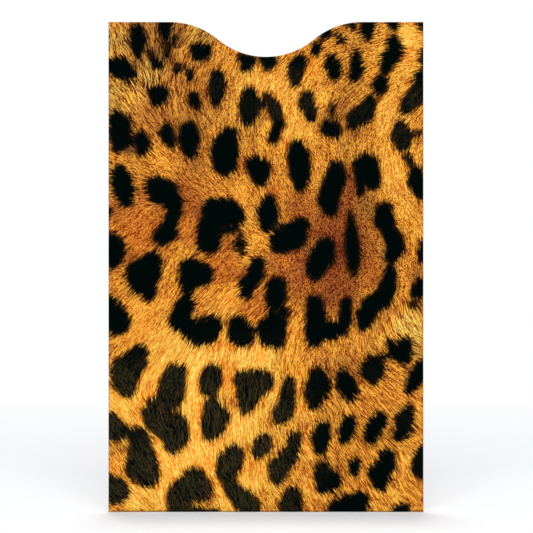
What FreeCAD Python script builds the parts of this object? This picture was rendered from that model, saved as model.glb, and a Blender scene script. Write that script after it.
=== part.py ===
"""A shielded card sleeve, folded and glued from one die-cut blank.

The blank is a laminate of three plies: printed card outside, then aluminium foil, then a paper liner.
Its bottom fold joins the front panel to the back panel.
A flap at each side of the front panel folds in behind it, and the back panel is glued to the two flaps.
That leaves a flat pocket, open at the top behind a thumb notch.
Each ply is cut at the creases into panels, folds and flaps, so that every solid is a plain sheet.

X runs across the sleeve, Y through it from the front face to the back, and Z up to the mouth.
The origin is at the middle of the underside of the bottom fold. Lengths are in millimetres.
"""

import FreeCAD, Part
import math
import os
import Sketcher

SIZES = {
    # The finished sleeve
    "sleeve_width": 58.0,  # over the two side folds
    "sleeve_height": 90.2,  # from the bottom fold to the mouth
    # The card that the pocket is made for, and the room left between it and the pocket's walls
    "card_thick": 0.76,
    "card_clearance": 0.19,
    # The plies of the blank, from the outside in
    "print_thick": 0.22,
    "foil_thick": 0.04,
    "liner_thick": 0.08,
    "crease_radius": 0.10,  # inside every fold
    # The thumb notch, a wave of three equal arcs through both panels
    "notch_half_span": 17.7,
    "notch_depth": 6.4,
    # The back panel stops this far inside the two side folds
    "back_reveal": 0.30,
    # The side flaps, which narrow towards their free edge
    "flap_width": 9.0,
    "flap_taper": 3.0,
    "flap_foot_gap": 1.5,  # above the bottom fold
    "flap_head_gap": 1.5,  # below the mouth
    # The glue between the flaps and the back panel
    "glue_thick": 0.05,
    "glue_margin": 1.5,  # from the edges of the lap to the glue
}

PLIES = ("print", "foil", "liner")

# Sizes worked out from the cells, as expressions
LAMINATE = "(Sizes.print_thick + Sizes.foil_thick + Sizes.liner_thick)"
FOLD_RADIUS = f"(Sizes.crease_radius + {LAMINATE})"
POCKET_GAP = "(Sizes.card_thick + Sizes.card_clearance)"
FLAP_SPAN = f"(2 * {LAMINATE} + {POCKET_GAP})"
SLEEVE_DEPTH = f"({FLAP_SPAN} + Sizes.glue_thick + {LAMINATE})"
FRONT_FACE = f"(-{SLEEVE_DEPTH} / 2)"
BACK_FACE = f"({SLEEVE_DEPTH} / 2)"
FLAP_FACE = f"({FRONT_FACE} + {FLAP_SPAN})"
NOTCH_RADIUS = "((Sizes.notch_half_span ^ 2 + Sizes.notch_depth ^ 2) / (4 * Sizes.notch_depth))"
FRONT_WIDTH = f"(Sizes.sleeve_width - 2 * {FOLD_RADIUS})"
BACK_WIDTH = f"({FRONT_WIDTH} - 2 * Sizes.back_reveal)"
PANEL_HEIGHT = f"(Sizes.sleeve_height - {FOLD_RADIUS})"
FLAP_REACH = f"(Sizes.flap_width - {FOLD_RADIUS})"
FLAP_FOOT = f"({FOLD_RADIUS} + Sizes.flap_foot_gap)"
FLAP_HEAD = "(Sizes.sleeve_height - Sizes.flap_head_gap)"
FLAP_HEIGHT = f"({FLAP_HEAD} - {FLAP_FOOT})"
GLUE_WIDTH = f"({FLAP_REACH} - Sizes.back_reveal - 2 * Sizes.glue_margin)"
GLUE_HEIGHT = f"({FLAP_HEIGHT} - 2 * Sizes.flap_taper)"

# Where each ply lies under the outer face of the laminate
PLY_TOP = {
    "print": "0",
    "foil": "Sizes.print_thick",
    "liner": "(Sizes.print_thick + Sizes.foil_thick)",
}

# Turns of a fold, which is drawn open along Y, so that it opens into the pocket
OPEN_TO_RIGHT = FreeCAD.Rotation(FreeCAD.Vector(0, 0, 1), -90)
OPEN_TO_LEFT = FreeCAD.Rotation(FreeCAD.Vector(0, 0, 1), 90)
OPEN_UPWARDS = FreeCAD.Rotation(FreeCAD.Vector(1, 1, 1), 120)
# Turn of a flap, which is drawn reaching along X, so that it reaches in from the right
HALF_TURN = FreeCAD.Rotation(FreeCAD.Vector(0, 1, 0), 180)
NO_TURN = FreeCAD.Rotation()

# The numbers by which constraints name a sketch's own origin and upright axis, and a curve's ends and centre
ORIGIN, VERTICAL_AXIS = range(-1, -3, -1)
START, END, CENTRE = range(1, 4)

doc = FreeCAD.newDocument("card_sleeve")
sheet = doc.addObject("Spreadsheet::Sheet", "Sizes")


def fill_sheet():
    """Writes each driving size to a row of the sheet: its name, and its value in a cell of that alias."""
    for row, (name, size) in enumerate(SIZES.items(), start=1):
        sheet.set(f"A{row}", name)
        sheet.set(f"B{row}", str(size))
        sheet.setAlias(f"B{row}", name)
    doc.recompute()


def value(expression):
    """The number that an expression on the sheet has now."""
    return float(sheet.evalExpression(expression))


def point(across, up):
    """A point of a sketch, from two expressions."""
    return FreeCAD.Vector(value(across), value(up), 0)


def new_sketch(label, plane):
    """A body of that label, and a sketch on one of its origin planes."""
    body = doc.addObject("PartDesign::Body", label)
    body.Label = label
    sketch = body.newObject("Sketcher::SketchObject", label + "_outline")
    support = [feature for feature in body.Origin.OriginFeatures if feature.Role == plane]
    sketch.AttachmentSupport = [(support[0], "")]
    sketch.MapMode = "FlatFace"
    return body, sketch


def draw_lines(sketch, corners):
    """Closes a loop of straight lines through the corners."""
    for index, corner in enumerate(corners):
        following = (index + 1) % len(corners)
        sketch.addGeometry(Part.LineSegment(corner, corners[following]), False)
    for index in range(len(corners)):
        join(sketch, "Coincident", index, END, (index + 1) % len(corners), START)


def arc(centre, radius, from_point, to_point):
    """The arc about centre that runs anticlockwise between two points."""
    first = from_point - centre
    last = to_point - centre
    circle = Part.Circle(centre, FreeCAD.Vector(0, 0, 1), radius)
    return Part.ArcOfCircle(circle, math.atan2(first.y, first.x), math.atan2(last.y, last.x))


def join(sketch, kind, *curves):
    """Adds a constraint that has no size."""
    sketch.addConstraint(Sketcher.Constraint(kind, *curves))


def size(sketch, name, expression, kind, *curves):
    """Adds a constraint with a size that follows an expression."""
    index = sketch.addConstraint(Sketcher.Constraint(kind, *curves, value(expression)))
    sketch.renameConstraint(index, name)
    sketch.setExpression("Constraints." + name, expression)


def pad(body, sketch, thickness, both_ways=False):
    """Gives the sketch its thickness along its own normal."""
    feature = body.newObject("PartDesign::Pad", body.Label + "_pad")
    feature.Profile = sketch
    feature.Midplane = both_ways
    feature.setExpression("Length", thickness)


def place(piece, turn, **coordinates):
    """Turns a piece, and ties the coordinates that it names to expressions."""
    piece.Placement = FreeCAD.Placement(FreeCAD.Vector(), turn)
    for axis, expression in coordinates.items():
        piece.setExpression("Placement.Base." + axis, expression)


def make_panel(label, ply, width, far_face):
    """A flat panel of one ply. Its foot is at the bottom fold, and the thumb notch is in its top edge.

    The notch is a shoulder arc, a hollow arc and a shoulder arc of one radius, each tangent to the next.
    """
    body, sketch = new_sketch(label, "XZ_Plane")
    top = "Sizes.sleeve_height"
    half = f"({width} / 2)"
    shoulder = "Sizes.notch_half_span"
    foot_left, foot_right = point(f"-{half}", FOLD_RADIUS), point(half, FOLD_RADIUS)
    top_left, top_right = point(f"-{half}", top), point(half, top)
    tip_left, tip_right = point(f"-{shoulder}", top), point(shoulder, top)
    meet_up = f"({top} - Sizes.notch_depth / 2)"
    meet_left, meet_right = point(f"-{shoulder} / 2", meet_up), point(f"{shoulder} / 2", meet_up)
    under_tip = f"({top} - {NOTCH_RADIUS})"
    over_notch = f"({top} - Sizes.notch_depth + {NOTCH_RADIUS})"
    radius = value(NOTCH_RADIUS)

    bottom, right, top_edge_right, tip_arc_right, hollow, tip_arc_left, top_edge_left, left = range(8)
    sketch.addGeometry(Part.LineSegment(foot_left, foot_right), False)
    sketch.addGeometry(Part.LineSegment(foot_right, top_right), False)
    sketch.addGeometry(Part.LineSegment(top_right, tip_right), False)
    sketch.addGeometry(arc(point(shoulder, under_tip), radius, tip_right, meet_right), False)
    sketch.addGeometry(arc(point("0", over_notch), radius, meet_left, meet_right), False)
    sketch.addGeometry(arc(point(f"-{shoulder}", under_tip), radius, meet_left, tip_left), False)
    sketch.addGeometry(Part.LineSegment(tip_left, top_left), False)
    sketch.addGeometry(Part.LineSegment(top_left, foot_left), False)

    for line in (top_edge_right, top_edge_left):
        join(sketch, "Horizontal", line)
    for line in (right, left):
        join(sketch, "Vertical", line)
    join(sketch, "Coincident", bottom, END, right, START)
    join(sketch, "Coincident", right, END, top_edge_right, START)
    join(sketch, "Tangent", top_edge_right, END, tip_arc_right, START)
    join(sketch, "Tangent", tip_arc_right, END, hollow, END)
    join(sketch, "Tangent", hollow, START, tip_arc_left, START)
    join(sketch, "Tangent", tip_arc_left, END, top_edge_left, START)
    join(sketch, "Coincident", top_edge_left, END, left, START)
    join(sketch, "Coincident", left, END, bottom, START)
    join(sketch, "Symmetric", bottom, START, bottom, END, VERTICAL_AXIS)
    join(sketch, "Symmetric", top_edge_left, START, top_edge_right, END, VERTICAL_AXIS)
    join(sketch, "Equal", tip_arc_right, hollow)
    join(sketch, "Equal", hollow, tip_arc_left)
    size(sketch, "width", width, "DistanceX", bottom, START, bottom, END)
    size(sketch, "foot", FOLD_RADIUS, "DistanceY", ORIGIN, START, bottom, START)
    size(sketch, "height", PANEL_HEIGHT, "DistanceY", right, START, right, END)
    size(sketch, "notch_span", f"2 * {shoulder}", "DistanceX", top_edge_left, START, top_edge_right, END)
    size(sketch, "notch_radius", NOTCH_RADIUS, "Radius", hollow)

    pad(body, sketch, f"Sizes.{ply}_thick")
    place(body, NO_TURN, y=far_face)
    return body


def make_fold(label, ply, span, length, turn, **coordinates):
    """A fold of one ply: a straight web between two quarter bends, which end where the panels begin.

    It is drawn with its span and web along X, and its bends opening along Y. Then it is turned and placed.
    """
    body, sketch = new_sketch(label, "XY_Plane")
    thickness = f"Sizes.{ply}_thick"
    outer_radius = f"({FOLD_RADIUS} - {PLY_TOP[ply]})"
    inner_radius = f"({outer_radius} - {thickness})"
    bend = f"({span} / 2 - {FOLD_RADIUS})"
    ends = {}
    for name, radius in (("outer", outer_radius), ("inner", inner_radius)):
        ends[name] = {
            "left_end": point(f"-({bend} + {radius})", FOLD_RADIUS),
            "left_foot": point(f"-{bend}", f"{FOLD_RADIUS} - {radius}"),
            "right_foot": point(bend, f"{FOLD_RADIUS} - {radius}"),
            "right_end": point(f"{bend} + {radius}", FOLD_RADIUS),
        }
    centre_left, centre_right = point(f"-{bend}", FOLD_RADIUS), point(bend, FOLD_RADIUS)
    outer, inner = ends["outer"], ends["inner"]

    outer_left, outer_web, outer_right, cut_right, inner_right, inner_web, inner_left, cut_left = range(8)
    outer_size, inner_size = value(outer_radius), value(inner_radius)
    sketch.addGeometry(arc(centre_left, outer_size, outer["left_end"], outer["left_foot"]), False)
    sketch.addGeometry(Part.LineSegment(outer["left_foot"], outer["right_foot"]), False)
    sketch.addGeometry(arc(centre_right, outer_size, outer["right_foot"], outer["right_end"]), False)
    sketch.addGeometry(Part.LineSegment(outer["right_end"], inner["right_end"]), False)
    sketch.addGeometry(arc(centre_right, inner_size, inner["right_foot"], inner["right_end"]), False)
    sketch.addGeometry(Part.LineSegment(inner["right_foot"], inner["left_foot"]), False)
    sketch.addGeometry(arc(centre_left, inner_size, inner["left_end"], inner["left_foot"]), False)
    sketch.addGeometry(Part.LineSegment(inner["left_end"], outer["left_end"]), False)

    join(sketch, "Tangent", outer_left, END, outer_web, START)
    join(sketch, "Tangent", outer_web, END, outer_right, START)
    join(sketch, "Coincident", outer_right, END, cut_right, START)
    join(sketch, "Coincident", cut_right, END, inner_right, END)
    join(sketch, "Tangent", inner_right, START, inner_web, START)
    join(sketch, "Tangent", inner_web, END, inner_left, END)
    join(sketch, "Coincident", inner_left, START, cut_left, START)
    join(sketch, "Coincident", cut_left, END, outer_left, START)
    join(sketch, "Coincident", inner_right, CENTRE, outer_right, CENTRE)
    join(sketch, "Coincident", inner_left, CENTRE, outer_left, CENTRE)
    join(sketch, "Symmetric", outer_left, CENTRE, outer_right, CENTRE, VERTICAL_AXIS)
    join(sketch, "Horizontal", cut_left)
    join(sketch, "Horizontal", cut_right)
    join(sketch, "Horizontal", outer_web)
    join(sketch, "Horizontal", inner_web)
    join(sketch, "PointOnObject", outer_left, CENTRE, cut_left)
    join(sketch, "PointOnObject", outer_right, CENTRE, cut_right)
    size(sketch, "bends_apart", f"2 * {bend}", "DistanceX", outer_left, CENTRE, outer_right, CENTRE)
    size(sketch, "depth", FOLD_RADIUS, "DistanceY", ORIGIN, START, outer_left, CENTRE)
    size(sketch, "outer_radius", outer_radius, "Radius", outer_left)
    size(sketch, "inner_radius", inner_radius, "Radius", inner_left)

    pad(body, sketch, length, both_ways=True)
    place(body, turn, **coordinates)
    return body


def make_flap(label, ply, turn, crease):
    """A side flap of one ply: its long edge is at the crease, and it narrows towards its free edge."""
    body, sketch = new_sketch(label, "XZ_Plane")
    half = f"({FLAP_HEIGHT} / 2)"
    free_half = f"({half} - Sizes.flap_taper)"
    corners = [
        point("0", f"-{half}"),
        point(FLAP_REACH, f"-{free_half}"),
        point(FLAP_REACH, free_half),
        point("0", half),
    ]
    draw_lines(sketch, corners)
    free_edge, crease_edge = 1, 3
    join(sketch, "Vertical", free_edge)
    join(sketch, "PointOnObject", crease_edge, START, VERTICAL_AXIS)
    join(sketch, "Symmetric", crease_edge, START, crease_edge, END, ORIGIN, START)
    size(sketch, "crease_height", FLAP_HEIGHT, "DistanceY", crease_edge, END, crease_edge, START)
    size(sketch, "free_height", f"2 * {free_half}", "DistanceY", free_edge, START, free_edge, END)
    size(sketch, "free_foot", "Sizes.flap_taper", "DistanceY", crease_edge, END, free_edge, START)
    size(sketch, "reach", FLAP_REACH, "DistanceX", crease_edge, END, free_edge, START)

    pad(body, sketch, f"Sizes.{ply}_thick")
    place(
        body,
        turn,
        x=crease,
        y=f"{FLAP_FACE} - {PLY_TOP[ply]}",
        z=f"({FLAP_FOOT} + {FLAP_HEAD}) / 2",
    )
    return body


def make_glue(label, low_x):
    """A strip of glue on the back of a flap, under the lap of the back panel."""
    strip = doc.addObject("Part::Box", label)
    strip.Label = label
    strip.setExpression("Length", GLUE_WIDTH)
    strip.setExpression("Width", "Sizes.glue_thick")
    strip.setExpression("Height", GLUE_HEIGHT)
    place(strip, NO_TURN, x=low_x, y=FLAP_FACE, z=f"{FLAP_FOOT} + Sizes.flap_taper")
    return strip


def build():
    """Makes every piece, and returns them in the order that the blank is laid up and folded."""
    pieces = []
    half_width = "Sizes.sleeve_width / 2"
    mid_height = "Sizes.sleeve_height / 2"
    flap_middle = f"{FRONT_FACE} + {FLAP_SPAN} / 2"
    left_crease = f"-({half_width} - {FOLD_RADIUS})"
    right_crease = f"{half_width} - {FOLD_RADIUS}"
    for ply in PLIES:
        front_ply_inside = f"{FRONT_FACE} + {PLY_TOP[ply]} + Sizes.{ply}_thick"
        back_ply_outside = f"{BACK_FACE} - {PLY_TOP[ply]}"
        pieces.append(make_panel(f"front_panel_{ply}", ply, FRONT_WIDTH, front_ply_inside))
        pieces.append(make_panel(f"back_panel_{ply}", ply, BACK_WIDTH, back_ply_outside))
        pieces.append(make_fold(f"bottom_fold_{ply}", ply, SLEEVE_DEPTH, BACK_WIDTH, OPEN_UPWARDS))
        at_left = {"x": f"-{half_width}", "y": flap_middle, "z": mid_height}
        at_right = {"x": half_width, "y": flap_middle, "z": mid_height}
        height = "Sizes.sleeve_height"
        pieces.append(make_fold(f"left_fold_{ply}", ply, FLAP_SPAN, height, OPEN_TO_RIGHT, **at_left))
        pieces.append(make_fold(f"right_fold_{ply}", ply, FLAP_SPAN, height, OPEN_TO_LEFT, **at_right))
        pieces.append(make_flap(f"left_flap_{ply}", ply, NO_TURN, left_crease))
        pieces.append(make_flap(f"right_flap_{ply}", ply, HALF_TURN, right_crease))
    free_edge = f"({half_width} - Sizes.flap_width + Sizes.glue_margin)"
    pieces.append(make_glue("left_glue_strip", f"-({free_edge} + {GLUE_WIDTH})"))
    pieces.append(make_glue("right_glue_strip", free_edge))
    return pieces


def check(pieces):
    """Stops if any object of the document failed, or if a piece isn't one valid solid."""
    for made in doc.Objects:
        if {"Invalid", "Error"} & set(made.State):
            raise RuntimeError(f"{made.Label} failed: {made.State}")
    for piece in pieces:
        shape = piece.Shape
        if shape.isNull() or not shape.isValid() or len(shape.Solids) != 1:
            raise RuntimeError(f"{piece.Label} is not one valid solid")


def main():
    fill_sheet()
    pieces = build()
    doc.recompute()
    check(pieces)
    os.makedirs("parts", exist_ok=True)
    for piece in pieces:
        piece.Shape.exportStep(os.path.join("parts", piece.Label + ".step"))
        print(f"{piece.Label}: {piece.Shape.Volume:.2f} cubic mm")


main()
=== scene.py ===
# %% [markdown]
# # A printed sleeve for one card
# The real object is a flat paper pocket: one sheet of card, printed with leopard fur on its outside,
# backed with foil and a thin liner, cut, folded and glued.
# The CAD frame already holds every ply and fold at its true place, so the first step is to load it
# and to keep its box, because nothing that is made here may grow past it.

# %% Load the frame
import math

import bpy
import numpy as np
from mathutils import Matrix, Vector


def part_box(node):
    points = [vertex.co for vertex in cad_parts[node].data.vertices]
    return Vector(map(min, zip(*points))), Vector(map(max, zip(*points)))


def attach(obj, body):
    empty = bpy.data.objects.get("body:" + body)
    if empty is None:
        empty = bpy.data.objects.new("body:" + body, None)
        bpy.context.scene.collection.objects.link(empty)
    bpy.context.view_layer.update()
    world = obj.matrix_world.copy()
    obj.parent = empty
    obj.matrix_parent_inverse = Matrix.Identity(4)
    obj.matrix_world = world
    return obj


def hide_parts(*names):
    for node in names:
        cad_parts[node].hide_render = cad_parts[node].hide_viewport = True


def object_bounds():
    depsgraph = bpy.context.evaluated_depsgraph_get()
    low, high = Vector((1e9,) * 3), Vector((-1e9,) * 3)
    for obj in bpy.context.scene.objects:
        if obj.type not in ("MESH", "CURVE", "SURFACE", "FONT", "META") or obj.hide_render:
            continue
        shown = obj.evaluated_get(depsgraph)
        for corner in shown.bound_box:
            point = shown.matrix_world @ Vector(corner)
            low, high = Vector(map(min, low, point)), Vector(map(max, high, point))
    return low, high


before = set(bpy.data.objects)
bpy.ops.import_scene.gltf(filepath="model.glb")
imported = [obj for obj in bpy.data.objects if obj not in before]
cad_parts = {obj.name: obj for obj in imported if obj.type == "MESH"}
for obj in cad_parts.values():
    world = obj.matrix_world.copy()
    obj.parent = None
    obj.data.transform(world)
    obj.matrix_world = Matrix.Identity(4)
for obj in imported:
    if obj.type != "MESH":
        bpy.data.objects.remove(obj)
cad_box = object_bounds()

print("CAD nodes:", len(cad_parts), "box:", [tuple(round(v * 1000, 2) for v in c) for c in cad_box])

# %% [markdown]
# ## Sizes
# A folded sheet is known by a few lengths: where its faces lie, how far out its folds reach and how
# deep each ply lies under the printed face. They could be typed again, but then the looks and the
# solids could drift apart, so they are read from the boxes of the CAD nodes.
# The notch and the flap's slanted ends aren't in any box, so those three are named here.

# %% Read the sleeve's sizes
MM = 0.001
NOTCH_HALF_SPAN = 17.7 * MM
NOTCH_DEPTH = 6.4 * MM
FLAP_TAPER = 3.0 * MM
PLIES = ("print", "foil", "liner")


def side(node, end, axis):
    """One number of a node's box: end 0 is its low corner and 1 its high one, axis 0 to 2 is x, y or z."""
    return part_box(node)[end][axis]


half_width = side("right_fold_print", 1, 0)
mouth_height = side("right_fold_print", 1, 2)
front_face = side("front_panel_print", 0, 1)
back_face = side("back_panel_print", 1, 1)
fold_start = side("front_panel_print", 1, 0)
fold_radius = half_width - fold_start
back_half_width = side("back_panel_print", 1, 0)
flap_face = side("right_flap_print", 1, 1)
flap_edge = side("right_flap_print", 0, 0)
flap_foot = side("right_flap_print", 0, 2)
flap_head = side("right_flap_print", 1, 2)
ply_depths = {p: [side(f"front_panel_{p}", e, 1) - front_face for e in (0, 1)] for p in PLIES}
print("sleeve", round(2000 * half_width, 2), "x", round(1000 * mouth_height, 2), "mm, fold radius",
      round(1000 * fold_radius, 2), "mm, plies", {p: np.round(np.array(d) * 1000, 2) for p, d in ply_depths.items()})

# %% [markdown]
# ## The photograph as a ruler
# The sleeve is seen square-on, so a pixel of the picture maps to a place on the front by a plain
# scale. Four edges of the sleeve, read in the picture, fix that scale. From here on, anything on
# the print can be named by the pixel where it is seen.

# %% Pixels to places
EDGE_LEFT, EDGE_RIGHT = 108.55, 423.33
EDGE_TOP, EDGE_BOTTOM = 22.43, 511.82
IMAGE_SIDE = 533

pixels_per_metre = (EDGE_RIGHT - EDGE_LEFT) / (2 * half_width)


def to_pixels(x, z):
    """Where a place on the front is seen: the sleeve's middle and foot are moved to their pixels and scaled."""
    column = (EDGE_LEFT + EDGE_RIGHT) / 2 + x * pixels_per_metre
    row = EDGE_BOTTOM - z * (EDGE_BOTTOM - EDGE_TOP) / mouth_height
    return column, row


print("scale:", round(pixels_per_metre * MM, 3), "pixels per mm")

# %% [markdown]
# ## The spots
# A leopard's spots are blots of black hair, each with its own outline. Blots could come from a noise
# texture, but then none would lie where the print has it. So each spot is a stroke with a fat brush:
# a few points (column, row, half width), read in the enlarged picture and corrected where the render
# differed from it. The distance to a stroke is negative inside it, and the shader later roughens that
# smooth edge with hairs.

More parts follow.
